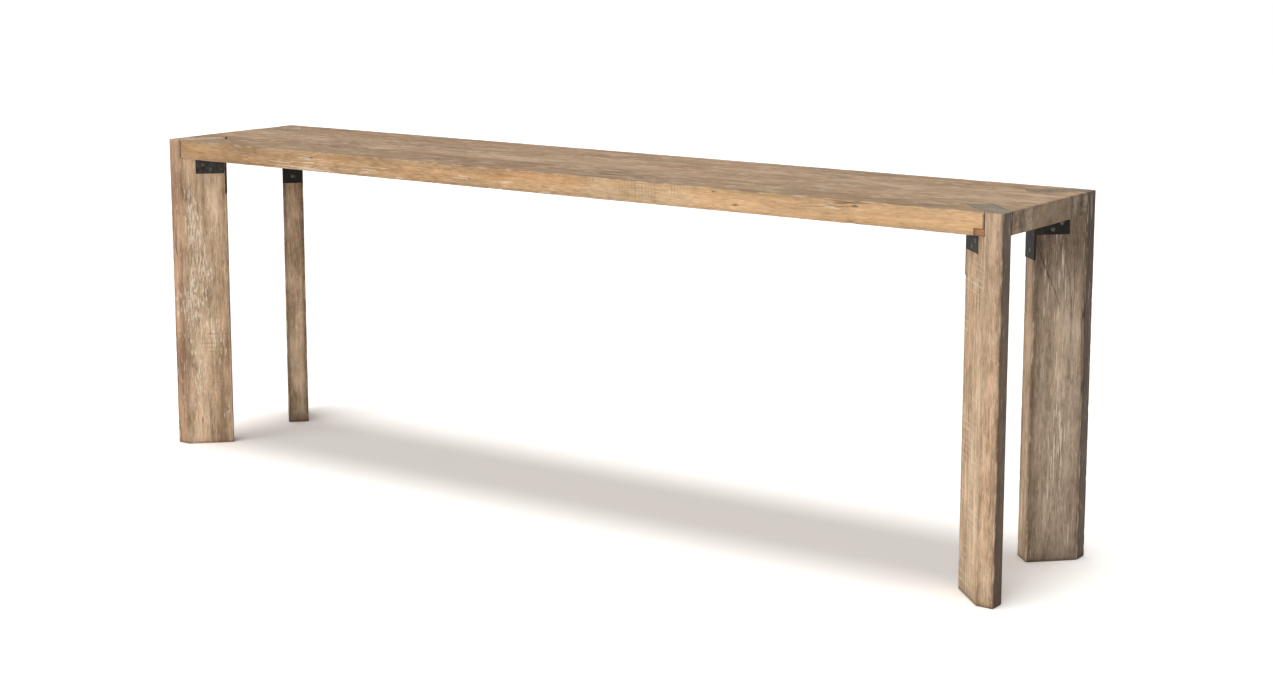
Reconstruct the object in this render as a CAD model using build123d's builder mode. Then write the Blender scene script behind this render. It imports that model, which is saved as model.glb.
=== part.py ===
"""Console table in old wood and iron.

Three edge-joined boards make a thick top. Four plank legs stand on the diagonals of the corners, in
open notches that let their end grain show in the top. Iron angles under the top hold each leg.
Millimetres, +Z up, +X along the length, -Y the front. The origin is on the floor under the middle.
"""

import os
from math import radians, sqrt, tan

from build123d import *

os.makedirs("parts", exist_ok=True)

# Whole table
table_length = 2440.0
table_depth = 460.0
table_height = 830.0
wood_arris = 2.5

# Top boards: each outer one holds its leg notches whole, with this much wood left before the seam,
# and the middle one takes up the rest
top_thickness = 50.0
front_seam_margin = 15.0
back_seam_margin = 5.0

# Loose tongues, hidden in stopped grooves along the two seams
tongue_width = 30.0
tongue_thickness = 12.0
tongue_end_margin = 40.0
tongue_clearance = 0.2

# Plank legs: the width runs along the diagonal, from the pointed outer end to the square inner end
leg_thickness = 56.0
leg_width = 148.0
notch_clearance = 0.25

# Repair patch in the lower front edge, beside the front right leg
patch_length = 26.0
patch_height = 16.0
patch_depth = 14.0
patch_clearance = 0.1

# Iron angles, let into the legs and screwed to the underside of the top
iron_thickness = 5.0
iron_proud = 1.0
iron_root_radius = 3.0
end_angle_drop = 98.0
end_angle_reach = 50.0
side_angle_drop = 42.0
side_angle_reach = 22.0
side_angle_length = 75.0
housing_clearance = 0.3

# Countersunk slotted screws
screw_radius = 2.5
screw_head_radius = 5.0
screw_head_angle = 90.0
screw_slot_width = 1.2
screw_slot_depth = 1.0
screw_slot_turn = 37.0
screw_hole_clearance = 0.25
screw_pilot_clearance = 0.1
end_screw_length = 40.0
side_screw_tip_gap = 4.0
top_screw_cover = 18.0

# Places of the screws on the irons
end_screw_margin = 19.0
side_screw_upper_margin = 12.0
side_screw_lower_margin = 11.0
side_screw_outer_margin = 18.0
side_screw_pitch = 21.0
end_flange_screw_margin = 14.0
side_flange_screw_margin = 16.0

# Sizes that follow from these
top_underside = table_height - top_thickness
front_edge = -table_depth / 2
back_edge = table_depth / 2
notch_reach = (leg_width + leg_thickness / 2 + 2 * notch_clearance) / sqrt(2)
front_seam = front_edge + notch_reach + front_seam_margin
back_seam = back_edge - notch_reach - back_seam_margin
housing_depth = iron_thickness - iron_proud
end_heel = leg_width - housing_depth
side_heel = leg_thickness / 2 - housing_depth
side_start = end_heel - housing_clearance
notch_mouth = sqrt(2) * (leg_thickness / 2 + notch_clearance)
corner_reach = (end_heel + end_angle_reach + leg_thickness / 2) / sqrt(2)
tongue_length = table_length - 2 * (corner_reach + tongue_end_margin)
side_screw_length = leg_thickness / 2 + iron_proud - side_screw_tip_gap
top_screw_length = iron_thickness + top_thickness - top_screw_cover
screw_head_depth = (screw_head_radius - screw_radius) / tan(radians(screw_head_angle / 2))

# Each corner: which way it lies from the middle, along the length and along the depth
corner_signs = {
    "front_left": (-1, -1),
    "front_right": (1, -1),
    "back_left": (-1, 1),
    "back_right": (1, 1),
}


def corner_plane(name):
    """The corner's own plane on the floor: origin at the corner, x along the diagonal, inwards."""
    along, across = corner_signs[name]
    return Plane(
        origin=(along * table_length / 2, across * table_depth / 2, 0),
        x_dir=(-along, -across, 0),
        z_dir=(0, 0, 1),
    )


def face_signs(name):
    """The two wide faces of a leg by name, each with the sign of the corner plane's y that it faces."""
    along, across = corner_signs[name]
    return {"long_side": -along * across, "end_side": along * across}


def end_screw_seats(corner):
    """Where the end angle's screws enter the leg: on the middle line, z out of the iron's face."""
    drops = (iron_thickness + end_screw_margin, end_angle_drop - end_screw_margin)
    face = leg_width + iron_proud
    return [
        corner.location * Location((face, 0, top_underside - drop), (0, 90, 0)) for drop in drops
    ]


def side_screw_seats(corner, side):
    """Where a side angle's screws enter the leg: an upper outer one and a lower inner one."""
    outer_end = side_start - side_angle_length + side_screw_outer_margin
    upper = top_underside - iron_thickness - side_screw_upper_margin
    lower = top_underside - side_angle_drop + side_screw_lower_margin
    face = side * (leg_thickness / 2 + iron_proud)
    places = [(outer_end, face, upper), (outer_end + side_screw_pitch, face, lower)]
    return [corner.location * Location(place, (-90 * side, 0, 0)) for place in places]


def end_flange_seats(corner):
    """Where the end angle's screws enter the top: a pair across the flange, z downwards."""
    across = leg_thickness / 2 - end_flange_screw_margin
    middle = end_heel + (iron_thickness + iron_root_radius + end_angle_reach) / 2
    level = top_underside - iron_thickness
    return [
        corner.location * Location((middle, side * across, level), (180, 0, 0)) for side in (-1, 1)
    ]


def side_flange_seats(corner, side):
    """Where a side angle's screws enter the top: one near each end of the flange, z downwards."""
    across = side * (side_heel + (iron_thickness + iron_root_radius + side_angle_reach) / 2)
    level = top_underside - iron_thickness
    ends = (
        side_start - side_angle_length + side_flange_screw_margin,
        side_start - side_flange_screw_margin,
    )
    return [corner.location * Location((along, across, level), (180, 0, 0)) for along in ends]


def top_screw_seats(name):
    """All the screws at one corner that go up into the top."""
    corner = corner_plane(name)
    seats = end_flange_seats(corner)
    for side in face_signs(name).values():
        seats += side_flange_seats(corner, side)
    return seats


def cut_pilot_holes(seats, length):
    """Cuts the screws' pilot holes from the piece that is being built."""
    with Locations(*seats):
        Cylinder(
            screw_radius + screw_pilot_clearance,
            length + screw_pilot_clearance,
            align=(Align.CENTER, Align.CENTER, Align.MAX),
            mode=Mode.SUBTRACT,
        )


def cut_screw_holes(seats):
    """Cuts countersunk clearance holes through the iron that is being built."""
    with Locations(*seats):
        CounterSinkHole(
            screw_radius + screw_hole_clearance,
            screw_head_radius,
            depth=iron_thickness,
            counter_sink_angle=screw_head_angle,
        )


def cut_leg_notch(name):
    """Cuts one leg's open notch through the top from the piece that is being built."""
    with BuildSketch(corner_plane(name).offset(top_underside)) as notch:
        with Locations((leg_width + notch_clearance, 0)):
            Rectangle(
                leg_width + leg_thickness,
                leg_thickness + 2 * notch_clearance,
                align=(Align.MAX, Align.CENTER),
            )
    extrude(notch.sketch, amount=top_thickness, mode=Mode.SUBTRACT)


def cut_tongue_grooves():
    """Cuts both stopped grooves from the board that is being built, with the tongues on their floors."""
    floor = top_underside + (top_thickness - tongue_thickness) / 2
    with Locations((0, front_seam, floor), (0, back_seam, floor)):
        Box(
            tongue_length + 2 * tongue_clearance,
            tongue_width + 2 * tongue_clearance,
            tongue_thickness + tongue_clearance,
            align=(Align.CENTER, Align.CENTER, Align.MIN),
            mode=Mode.SUBTRACT,
        )


def patch_block(clearance, mode):
    """The repair patch's block at the lower front edge, ending where the leg's notch opens."""
    with Locations((table_length / 2 - notch_mouth, front_edge, top_underside)):
        Box(
            patch_length + clearance,
            patch_depth,
            patch_height + clearance,
            align=(Align.MAX, Align.MIN, Align.MIN),
            mode=mode,
        )


def add_angle(section_plane, drop, reach, length):
    """Adds an angle to the iron that is being built, half its length each way from the section plane.

    The heel is at the plane's origin, with one flange out along x, one down and a rounded root.
    """
    with BuildSketch(section_plane) as section:
        with BuildLine():
            Polyline(
                (0, 0),
                (reach, 0),
                (reach, -iron_thickness),
                (iron_thickness, -iron_thickness),
                (iron_thickness, -drop),
                (0, -drop),
                close=True,
            )
        make_face()
        root = section.vertices().sort_by_distance((iron_thickness, -iron_thickness))[0]
        fillet(root, radius=iron_root_radius)
    extrude(section.sketch, amount=length / 2, both=True)


def add_screws(seats, length):
    """Adds one slotted countersunk screw at each seat to the group that is being built."""
    for count, seat in enumerate(seats):
        with Locations(seat * Location((0, 0, 0), (0, 0, count * screw_slot_turn))):
            Cylinder(screw_radius, length, align=(Align.CENTER, Align.CENTER, Align.MAX))
            Cone(
                screw_radius,
                screw_head_radius,
                screw_head_depth,
                align=(Align.CENTER, Align.CENTER, Align.MAX),
            )
            Box(
                2 * screw_head_radius,
                screw_slot_width,
                screw_slot_depth,
                align=(Align.CENTER, Align.CENTER, Align.MAX),
                mode=Mode.SUBTRACT,
            )


# Top boards: eased on the outside edges, tight at the seams, notched at the corners for the legs
board_edges = {
    "front": (front_edge, front_seam),
    "middle": (front_seam, back_seam),
    "back": (back_seam, back_edge),
}
for place, (near, far) in board_edges.items():
    with BuildPart() as board:
        with BuildSketch(Plane.XY.offset(top_underside)):
            with Locations((0, near)):
                Rectangle(table_length, far - near, align=(Align.CENTER, Align.MIN))
        extrude(amount=top_thickness)
        eased = board.edges().filter_by(Axis.Y)
        for outside in (front_edge, back_edge):
            eased += board.edges().filter_by(Axis.X).filter_by_position(Axis.Y, outside, outside)
        fillet(eased, wood_arris)
        cut_tongue_grooves()
        for name in corner_signs:
            cut_leg_notch(name)
            cut_pilot_holes(top_screw_seats(name), top_screw_length)
        if place == "front":
            patch_block(patch_clearance, Mode.SUBTRACT)
    board.part.label = f"top_board_{place}"
    export_step(board.part, f"parts/top_board_{place}.step")

# Repair patch: a small block let into the front board, cut back where the leg's notch passes
with BuildPart() as patch:
    patch_block(0, Mode.ADD)
    lower_front = patch.edges().filter_by(Axis.X).group_by(Axis.Z)[0].sort_by(Axis.Y)[0]
    fillet(lower_front, wood_arris)
    cut_leg_notch("front_right")
patch.part.label = "edge_patch"
export_step(patch.part, "parts/edge_patch.step")

# Loose tongues: flat strips across the seams, lying on the floors of their grooves
for place, seam in {"front": front_seam, "back": back_seam}.items():
    with BuildPart() as tongue:
        with BuildSketch(Plane.XY.offset(top_underside + (top_thickness - tongue_thickness) / 2)):
            with Locations((0, seam)):
                Rectangle(tongue_length, tongue_width)
        extrude(amount=tongue_thickness)
    tongue.part.label = f"tongue_{place}"
    export_step(tongue.part, f"parts/tongue_{place}.step")

for name in corner_signs:
    corner = corner_plane(name)
    sides = face_signs(name)

    # Leg: a plank on the diagonal, pointed to the corner, housed for its irons below the top
    with BuildPart() as leg:
        with BuildSketch(corner):
            with BuildLine():
                Polyline(
                    (0, 0),
                    (leg_thickness / 2, leg_thickness / 2),
                    (leg_width, leg_thickness / 2),
                    (leg_width, -leg_thickness / 2),
                    (leg_thickness / 2, -leg_thickness / 2),
                    close=True,
                )
            make_face()
        extrude(amount=table_height)
        upright = leg.edges().filter_by(Axis.Z)
        foot = leg.faces().sort_by(Axis.Z)[0].edges()
        crown = leg.faces().sort_by(Axis.Z)[-1].edges()
        pointed = crown.sort_by_distance(corner.offset(table_height).origin)[:2]
        fillet(upright + foot + pointed, wood_arris)
        with Locations(corner.location * Location((leg_width, 0, top_underside))):
            Box(
                housing_depth,
                leg_thickness,
                end_angle_drop + housing_clearance,
                align=(Align.MAX, Align.CENTER, Align.MAX),
                mode=Mode.SUBTRACT,
            )
        for side in sides.values():
            face = side * (leg_thickness - housing_depth) / 2
            with Locations(corner.location * Location((leg_width, face, top_underside))):
                Box(
                    leg_width - side_start + side_angle_length + housing_clearance,
                    housing_depth,
                    side_angle_drop + housing_clearance,
                    align=(Align.MAX, Align.CENTER, Align.MAX),
                    mode=Mode.SUBTRACT,
                )
            cut_pilot_holes(side_screw_seats(corner, side), side_screw_length)
        cut_pilot_holes(end_screw_seats(corner), end_screw_length)
    leg.part.label = f"leg_{name}"
    export_step(leg.part, f"parts/leg_{name}.step")

    # End angle: on the leg's inner end, with its flange inwards under the top
    with BuildPart() as end_angle:
        heel = corner.from_local_coords((end_heel, 0, top_underside))
        section_plane = Plane(origin=heel, x_dir=corner.x_dir, z_dir=-corner.y_dir)
        add_angle(section_plane, end_angle_drop, end_angle_reach, leg_thickness)
        cut_screw_holes(end_screw_seats(corner) + end_flange_seats(corner))
    end_angle.part.label = f"end_angle_{name}"
    export_step(end_angle.part, f"parts/end_angle_{name}.step")

    # Side angles: one on each wide face, from the inner end outwards
    for facing, side in sides.items():
        with BuildPart() as side_angle:
            middle = side_start - side_angle_length / 2
            heel = corner.from_local_coords((middle, side * side_heel, top_underside))
            section_plane = Plane(origin=heel, x_dir=side * corner.y_dir, z_dir=side * corner.x_dir)
            add_angle(section_plane, side_angle_drop, side_angle_reach, side_angle_length)
            cut_screw_holes(side_screw_seats(corner, side) + side_flange_seats(corner, side))
        side_angle.part.label = f"side_angle_{name}_{facing}"
        export_step(side_angle.part, f"parts/side_angle_{name}_{facing}.step")

    # Screws into the leg
    with BuildPart() as leg_screws:
        add_screws(end_screw_seats(corner), end_screw_length)
        for side in sides.values():
            add_screws(side_screw_seats(corner, side), side_screw_length)
    leg_screws.part.label = f"leg_screws_{name}"
    export_step(leg_screws.part, f"parts/leg_screws_{name}.step")

    # Screws up into the top
    with BuildPart() as top_screws:
        add_screws(top_screw_seats(name), top_screw_length)
    top_screws.part.label = f"top_screws_{name}"
    export_step(top_screws.part, f"parts/top_screws_{name}.step")
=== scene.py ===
import math

import bmesh
import bpy
import numpy as np
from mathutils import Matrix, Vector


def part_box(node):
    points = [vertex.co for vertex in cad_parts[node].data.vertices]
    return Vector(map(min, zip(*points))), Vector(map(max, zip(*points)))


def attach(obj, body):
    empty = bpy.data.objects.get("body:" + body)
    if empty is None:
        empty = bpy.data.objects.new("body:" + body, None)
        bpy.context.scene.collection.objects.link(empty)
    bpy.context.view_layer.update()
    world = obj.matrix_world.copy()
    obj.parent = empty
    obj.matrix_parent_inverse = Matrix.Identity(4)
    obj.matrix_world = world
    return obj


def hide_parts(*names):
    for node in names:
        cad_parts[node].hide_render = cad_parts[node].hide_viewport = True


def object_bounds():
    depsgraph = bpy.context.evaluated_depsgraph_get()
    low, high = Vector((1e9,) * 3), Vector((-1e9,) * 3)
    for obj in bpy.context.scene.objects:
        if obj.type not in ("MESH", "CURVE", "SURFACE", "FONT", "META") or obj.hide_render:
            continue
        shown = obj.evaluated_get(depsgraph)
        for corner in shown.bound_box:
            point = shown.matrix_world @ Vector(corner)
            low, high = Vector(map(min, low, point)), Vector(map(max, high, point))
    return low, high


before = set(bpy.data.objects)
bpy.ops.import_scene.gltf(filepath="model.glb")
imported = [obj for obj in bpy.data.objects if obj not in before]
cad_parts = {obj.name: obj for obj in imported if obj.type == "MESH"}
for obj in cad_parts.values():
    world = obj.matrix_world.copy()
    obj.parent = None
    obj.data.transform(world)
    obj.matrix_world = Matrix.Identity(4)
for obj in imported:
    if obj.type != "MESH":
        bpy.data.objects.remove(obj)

cad_box = [list(corner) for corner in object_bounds()]

# Top boards
# Three old planks glued edge to edge, planed by hand and oiled until dry. Their outer corners are notched
# on the diagonal for the legs, their outside edges are rubbed pale and nicked, and the seams are tight.
mm = 0.001
table_low, table_high = (np.array(corner) for corner in cad_box)
board_arris = 2.6 * mm
least_arris, largest_arris = 1.4 * mm, 9 * mm
arris_steps = 5
arris_waves, arris_sway = (0.9, 0.31, 0.13, 0.071), 1.2 * mm
side_waves, side_hollow = (0.7, 0.23, 0.09), 0.5 * mm
worn_band, flat_band = 5 * mm, 16 * mm
edge_step = 5 * mm
end_reach = 1 * mm
narrow_nick, wide_nick = 1.5 * mm, 7 * mm
least_nick = 0.1
lower_nicks, deepest_lower = 80, 4.5 * mm
upper_nicks, deepest_upper = 60, 3.5 * mm
leg_thickness = 56 * mm
leg_width = 148 * mm
notch_gap = 0.25 * mm
outside_edge, notch_edge, seam_edge = 1.0, 0.15, 0.1
beside_arris, beside_mouth = 0.4, 0.75


def by_corner(*values):
    """One value for each leg: front left, front right, back left and back right."""
    return dict(zip(("front_left", "front_right", "back_left", "back_right"), values))


notch_end_gap = by_corner(4.6 * mm, 0.6 * mm, 2.4 * mm, 4.4 * mm)


def wander(place, seed, wavelengths, strength):
    """A smooth wandering value along a line, within plus or minus the strength: the mean of one sine of the
    place for each wavelength, with phases drawn from the seed."""
    phases = np.random.default_rng(seed).uniform(0, 2 * np.pi, len(wavelengths))
    waves = np.sin(2 * np.pi * place[..., None] / np.array(wavelengths) + phases)
    return strength * waves.mean(axis=-1)


def bell(place, middle, width):
    """A bell curve: one at the middle, and about a third of that a width away."""
    return np.exp(-(((place - middle) / width) ** 2))


def bells(place, marks):
    """A sum of bell curves of the place, each given as its strength, its middle and its width."""
    return sum((strength * bell(place, middle, width) for strength, middle, width in marks), 0 * place)


def nicks(place, seed, count, low, high, deepest):
    """Knocks along an edge: a sum of bell curves of the place. Centres between low and high, widths and
    depths are drawn from the seed, and most are far less deep than the deepest."""
    draw = np.random.default_rng(seed)
    centre = draw.uniform(low, high, count)
    width = draw.uniform(narrow_nick, wide_nick, count)
    depth = deepest * draw.uniform(least_nick, 1.0, count) ** 2
    return (depth * bell(place[..., None], centre, width)).sum(axis=-1)


def placed(name, data):
    """A new object in the scene, at the origin."""
    made = bpy.data.objects.new(name, data)
    bpy.context.scene.collection.objects.link(made)
    return made


def closed_skin(name, points, attributes):
    """A closed mesh from rows of points that go round a piece: quads join neighbouring rows, the last point
    of a row joins its first, and the first and last rows are each closed by one flat face."""
    rows, columns, _ = points.shape
    index = np.arange(rows * columns).reshape(rows, columns)
    after = np.roll(index, -1, axis=1)
    quads = np.stack([index[:-1], after[:-1], after[1:], index[1:]], axis=-1).reshape(-1, 4)
    caps = [index[0, ::-1].tolist(), index[-1].tolist()]
    mesh = bpy.data.meshes.new(name)
    mesh.from_pydata(points.reshape(-1, 3), [], quads.tolist() + caps)
    mesh.polygons.foreach_set("use_smooth", [True] * len(quads) + [False] * len(caps))
    for key, values in attributes.items():
        vector = values.shape[-1] == 3
        layer = mesh.attributes.new(key, "FLOAT_VECTOR" if vector else "FLOAT", "POINT")
        layer.data.foreach_set("vector" if vector else "value", values.astype(np.float32).ravel())
    return placed(name, mesh)


def sampled_outline(corners, weights):
    """A board's plan as points along its edges, with each point's move for an inset of one metre. An edge
    of weight w goes in by w times the inset. A corner's move keeps to both its edges, and the points
    between mix the moves of their corners. Outside edges and notch mouths are marked."""
    corners, weights = np.array(corners), np.array(weights)
    along = np.roll(corners, -1, axis=0) - corners
    length = np.linalg.norm(along, axis=1)
    inward = np.stack([-along[:, 1], along[:, 0]], axis=1) / length[:, None]
    both_edges = np.stack([np.roll(inward, 1, axis=0), inward], axis=1)
    both_weights = np.stack([np.roll(weights, 1), weights], axis=1)
    moves = np.linalg.solve(both_edges, both_weights[..., None])[..., 0]
    counts = np.maximum(2, np.rint(length / edge_step).astype(int))
    edge = np.repeat(np.arange(len(corners)), counts)
    share = np.concatenate([np.arange(count) / count for count in counts])[:, None]
    place = corners[edge] + share * along[edge]
    move = moves[edge] + share * (np.roll(moves, -1, axis=0) - moves)[edge]
    outside = weights[edge] == outside_edge
    mouth = (share[:, 0] == 0) & (weights[edge] + np.roll(weights, 1)[edge] == outside_edge + notch_edge)
    mouth = np.maximum(mouth, beside_mouth * (np.roll(mouth, 1) | np.roll(mouth, -1)))
    return place, move, outside, mouth


def colour(red, green, blue):
    """A colour as the eye reads it, from 0 to 255, in the linear values that shaders take."""
    share = np.array([red, green, blue]) / 255
    return np.where(share <= 0.04045, share / 12.92, ((share + 0.055) / 1.055) ** 2.4)


top_colour = {
    "front": colour(150, 124, 95), "middle": colour(168, 141, 112), "back": colour(158, 130, 101),
}
top_left_level = np.array([0.89, 0.86, 0.83])
end_colour = {
    "front": colour(161, 139, 117), "middle": colour(149, 128, 105), "back": colour(140, 121, 103),
}
front_left_colour, front_right_colour = colour(182, 146, 108), colour(225, 184, 139)
back_edge_colour = colour(184, 150, 116)
sawn_colour, sawn_tint = colour(226, 200, 164), 0.4
left_figure, right_figure = 0.9, 0.4
end_figure = {"front": 2.4, "middle": 1.1, "back": 2.7}
end_waves, end_sway = (0.083, 0.037, 0.021), 0.12
unfaded_side, worn_end = 0.8, 0.8
limed_below = 1.2
sawn_above = 14 * mm
end_checks, between_checks = (0.105, 0.155), 0.125
check_across, check_down = 0.4, 0.12
no_check = 1.0
hollow_seed, lower_seed, upper_seed, shade_seed = 5, 31, 37, 43
board_shift = np.array([0.7, 0.13, 0.05])
first_board = 11
# Each board's own marks, as bell curves. Limewash, saw marks and the rounder upper arris go by the place
# along the board, and the shade of its ends and the split in the right one by the place across.
board_marks = {
    "front": {
        "limed": [(1.0, -0.72, 0.16), (0.6, -0.25, 0.4)],
        "sawn": [(1.0, 0.21, 0.06), (1.0, 0.33, 0.05), (1.0, 0.42, 0.04), (0.5, -0.16, 0.05)],
        "shade": [(-0.4, -0.144, 14 * mm)],
    },
    "middle": {},
    "back": {
        "upper": [(5 * mm, table_low[0], 0.12)],
        "shade": [(0.25, 0.182, 6 * mm), (-0.4, 0.15, 16 * mm)],
        "split": [(5 * mm, 0.155, 4 * mm)],
    },
}


def board_wear(board, spot, seed):
    """A board's wear at each point of its plan: how much wider the arrises are, how deep the end has split
    and how dark it is, where limewash and saw marks are left, and how far it is to the nearer check."""
    along, across = spot.T
    left, right = table_low[0], table_high[0]
    marks = board_marks[board]
    wear = {key: bells(along, marks.get(key, [])) for key in ("limed", "sawn", "upper")}
    wear |= {key: bells(across, marks.get(key, [])) for key in ("shade", "split")}
    knocked = along + across
    wear["lower"] = nicks(knocked, seed + lower_seed, lower_nicks, left, right, deepest_lower)
    wear["upper"] += nicks(knocked, seed + upper_seed, upper_nicks, left, right, deepest_upper)
    wear["shade"] += wander(across, seed + shade_seed, end_waves, end_sway)
    wear["split"] *= along > right - end_reach
    near_check = across - np.where(across < between_checks, *end_checks)
    wear["check"] = check_across * near_check if board == "back" else no_check + 0 * along
    return wear


def board_tones(board, place, on_end, wear):
    """A board's face tone, edge tone and edge figure. They change evenly from left to right, the ends have
    their own, and sawn stretches are paler."""
    share = (place[:, :1] - table_low[0]) / (table_high[0] - table_low[0])
    face_tone = top_colour[board] * (top_left_level + share * (1 - top_left_level))
    front_tone = front_left_colour + share * (front_right_colour - front_left_colour)
    edge_tone = np.where(place[:, 1:] < 0, front_tone, back_edge_colour)
    end_tone = end_colour[board] * (1 + wear["shade"][:, None])
    edge_tone = np.where(on_end[:, None], end_tone, edge_tone)
    pale = sawn_tint * np.minimum(wear["sawn"], 1.0)[:, None] * ~on_end[:, None]
    edge_tone = edge_tone + pale * (sawn_colour - edge_tone)
    side_figure = left_figure + share[:, 0] * (right_figure - left_figure)
    return face_tone, edge_tone, np.where(on_end, end_figure[board], side_figure)


def board_skin(board, corners, weights, seed):
    """A plank: its plan carried up an edge profile, which comes in from the lower face, goes round the
    lower arris on a quarter circle, up the slightly hollow side, round the upper arris and onto the upper
    face. Both radii wander along the edge and grow at the knocks, and the side goes in at a split."""
    name = "top_board_" + board
    floor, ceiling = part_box(name)[0].z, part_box(name)[1].z
    place, move, outside, mouth = sampled_outline(corners, weights)
    wear = board_wear(board, place, seed)
    run = np.concatenate([[0], np.cumsum(np.linalg.norm(np.diff(place, axis=0), axis=1))])
    level = np.zeros_like(run)
    rough = [wander(run, seed + row, arris_waves, arris_sway) for row in range(2)]
    lower = board_arris + np.where(outside, rough[0] + wear["lower"], 0)
    upper = board_arris + np.where(outside, rough[1] + wear["upper"], 0)
    lower, upper = (np.clip(radius, least_arris, largest_arris) for radius in (lower, upper))
    turn = np.linspace(0, np.pi / 2, arris_steps)[:, None]
    side = [floor + lower + worn_band, level + (floor + ceiling) / 2, ceiling - upper - worn_band]
    seeds = seed + hollow_seed + np.arange(len(side))
    hollow = [abs(wander(run, row, side_waves, side_hollow)) for row in seeds]
    insets = np.vstack([
        level + flat_band, lower + worn_band, lower * (1 - np.sin(turn)), hollow + wear["split"],
        upper * (1 - np.sin(turn[::-1])), upper + worn_band, level + flat_band,
    ])
    heights = np.vstack([
        level + floor, level + floor, floor + lower * (1 - np.cos(turn)), *side,
        ceiling - upper * (1 - np.cos(turn[::-1])), level + ceiling, level + ceiling,
    ])
    points = np.concatenate([place + insets[..., None] * move, heights[..., None]], axis=-1)
    bend = [beside_arris, *[1.0] * arris_steps, beside_arris]
    arris = np.array([0, *bend, 0, *bend, 0])[:, None]
    round_the_arris = np.linspace(0, 1, arris_steps)
    on_side = np.array([0, 0, *round_the_arris, 1, 1, 1, *round_the_arris[::-1], 0, 0])[:, None]
    on_end = np.minimum(place[:, 0] - table_low[0], table_high[0] - place[:, 0]) < end_reach
    rise = (heights - floor) / (ceiling - floor)
    face_tone, edge_tone, edge_figure = board_tones(board, place, on_end, wear)
    return closed_skin(name + "_worn", points, {
        "grain": points + board_shift * seed,
        "ground": face_tone + on_side[..., None] * (edge_tone - face_tone),
        "figure": 1 + on_side * (edge_figure - 1),
        "faded": 1 - unfaded_side * on_side + 0 * heights,
        "worn": arris * outside * np.where(on_end, worn_end, 1.0),
        "joint": np.maximum(arris * ~outside, on_side * mouth),
        "limed": on_side * (limed_below - rise) * wear["limed"],
        "sawn": on_side * wear["sawn"] * (heights > floor + sawn_above),
        "check": wear["check"] + check_down * (heights - ceiling),
        "checked": on_side * on_end * rise,
    })


def notch_path(corner):
    """A leg's notch in a board, from the long edge to the end: distances from the end and the edge."""
    half, inner = leg_thickness / 2 + notch_gap, leg_width + notch_end_gap[corner]
    far, near = (inner + half) / math.sqrt(2), (inner - half) / math.sqrt(2)
    mouth = half * math.sqrt(2)
    return np.array([(mouth, 0), (far, near), (near, far), (0, mouth)])


def board_plan(board):
    """A board's plan, counter-clockwise, and its edges' weights: full outside, little at notch and seam."""
    (left, near), (right, far) = (corner[:2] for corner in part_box("top_board_" + board))
    notched, plain = [*[notch_edge] * 3, outside_edge], [seam_edge, outside_edge]
    if board == "front":
        corners = [
            *((left, near) + notch_path("front_left")[::-1]),
            *((right, near) + notch_path("front_right") * (-1, 1)),
            (right, far), (left, far),
        ]
        return corners, notched * 2 + plain
    if board == "back":
        corners = [
            (left, near), (right, near),
            *((right, far) - notch_path("back_right")[::-1]),
            *((left, far) + notch_path("back_left") * (1, -1)),
        ]
        return corners, plain + notched * 2
    corners = [(left, near), (right, near), (right, far), (left, far)]
    return corners, plain * 2


def fill(made, inputs):
    """Sets the inputs of a shader node. Each is a value or a colour, or another node's socket to link."""
    for key, value in inputs.items():
        if isinstance(value, bpy.types.NodeSocket):
            made.id_data.links.new(value, made.inputs[key])
        elif isinstance(value, np.ndarray):
            made.inputs[key].default_value = (*value, 1.0)
        else:
            made.inputs[key].default_value = value


def node(tree, kind, inputs=None, **settings):
    """Adds a shader node with its settings and inputs."""
    made = tree.nodes.new("ShaderNode" + kind)
    for key, value in settings.items():
        setattr(made, key, value)
    fill(made, inputs or {})
    return made


def joined(kind, inputs, **settings):
    """Adds a shader node to the tree of the sockets that feed it."""
    tree = next(value.id_data for value in inputs.values() if isinstance(value, bpy.types.NodeSocket))
    return node(tree, kind, inputs, **settings)


def sums(operation, *values):
    """One step of arithmetic on numbers or sockets."""
    return joined("Math", dict(enumerate(values)), operation=operation).outputs[0]


def times(one, other):
    """One number or socket times another."""
    return sums("MULTIPLY", one, other)


def vectors(operation, *values):
    """One step of arithmetic on places or colours."""
    return joined("VectorMath", dict(enumerate(values)), operation=operation).outputs[0]


def eased(value, low, high):
    """A value as a mask that rises smoothly from 0 at low to 1 at high."""
    inputs = {"Value": value, "From Min": low, "From Max": high}
    return joined("MapRange", inputs, interpolation_type="SMOOTHSTEP").outputs[0]


def falling(value, low, high):
    """A value as a mask that falls smoothly from 1 at low to 0 at high."""
    return sums("SUBTRACT", 1.0, eased(value, low, high))


def blended(mask, under, over):
    """Lays one colour over another where the mask says."""
    return joined("Mix", {"Factor": mask, 6: under, 7: over}, data_type="RGBA").outputs[2]


def noise(place, stretch, detail=3.0, rough=0.55):
    """Soft noise about one half, stretched: so many features to the metre along, across and through."""
    scaled = vectors("MULTIPLY", place, stretch)
    inputs = {"Vector": scaled, "Scale": 1.0, "Detail": detail, "Roughness": rough}
    return joined("TexNoise", inputs).outputs["Fac"]


def swing(value, strength):
    """Noise as a swing about zero, so strong."""
    return times(sums("SUBTRACT", value, 0.5), strength)


socket_kind = {"Grain": "Vector", "Middle": "Vector", "Ground": "Color", "Color": "Color"}


def new_group(name, inputs, outputs):
    """A shader node group with named sockets: its inputs, and the node that takes its outputs."""
    tree = bpy.data.node_groups.new(name, "ShaderNodeTree")
    for side, keys in (("INPUT", inputs), ("OUTPUT", outputs)):
        for key in keys:
            kind = "NodeSocket" + socket_kind.get(key, "Float")
            tree.interface.new_socket(key, in_out=side, socket_type=kind)
    return tree.nodes.new("NodeGroupInput").outputs, tree.nodes.new("NodeGroupOutput")


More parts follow.
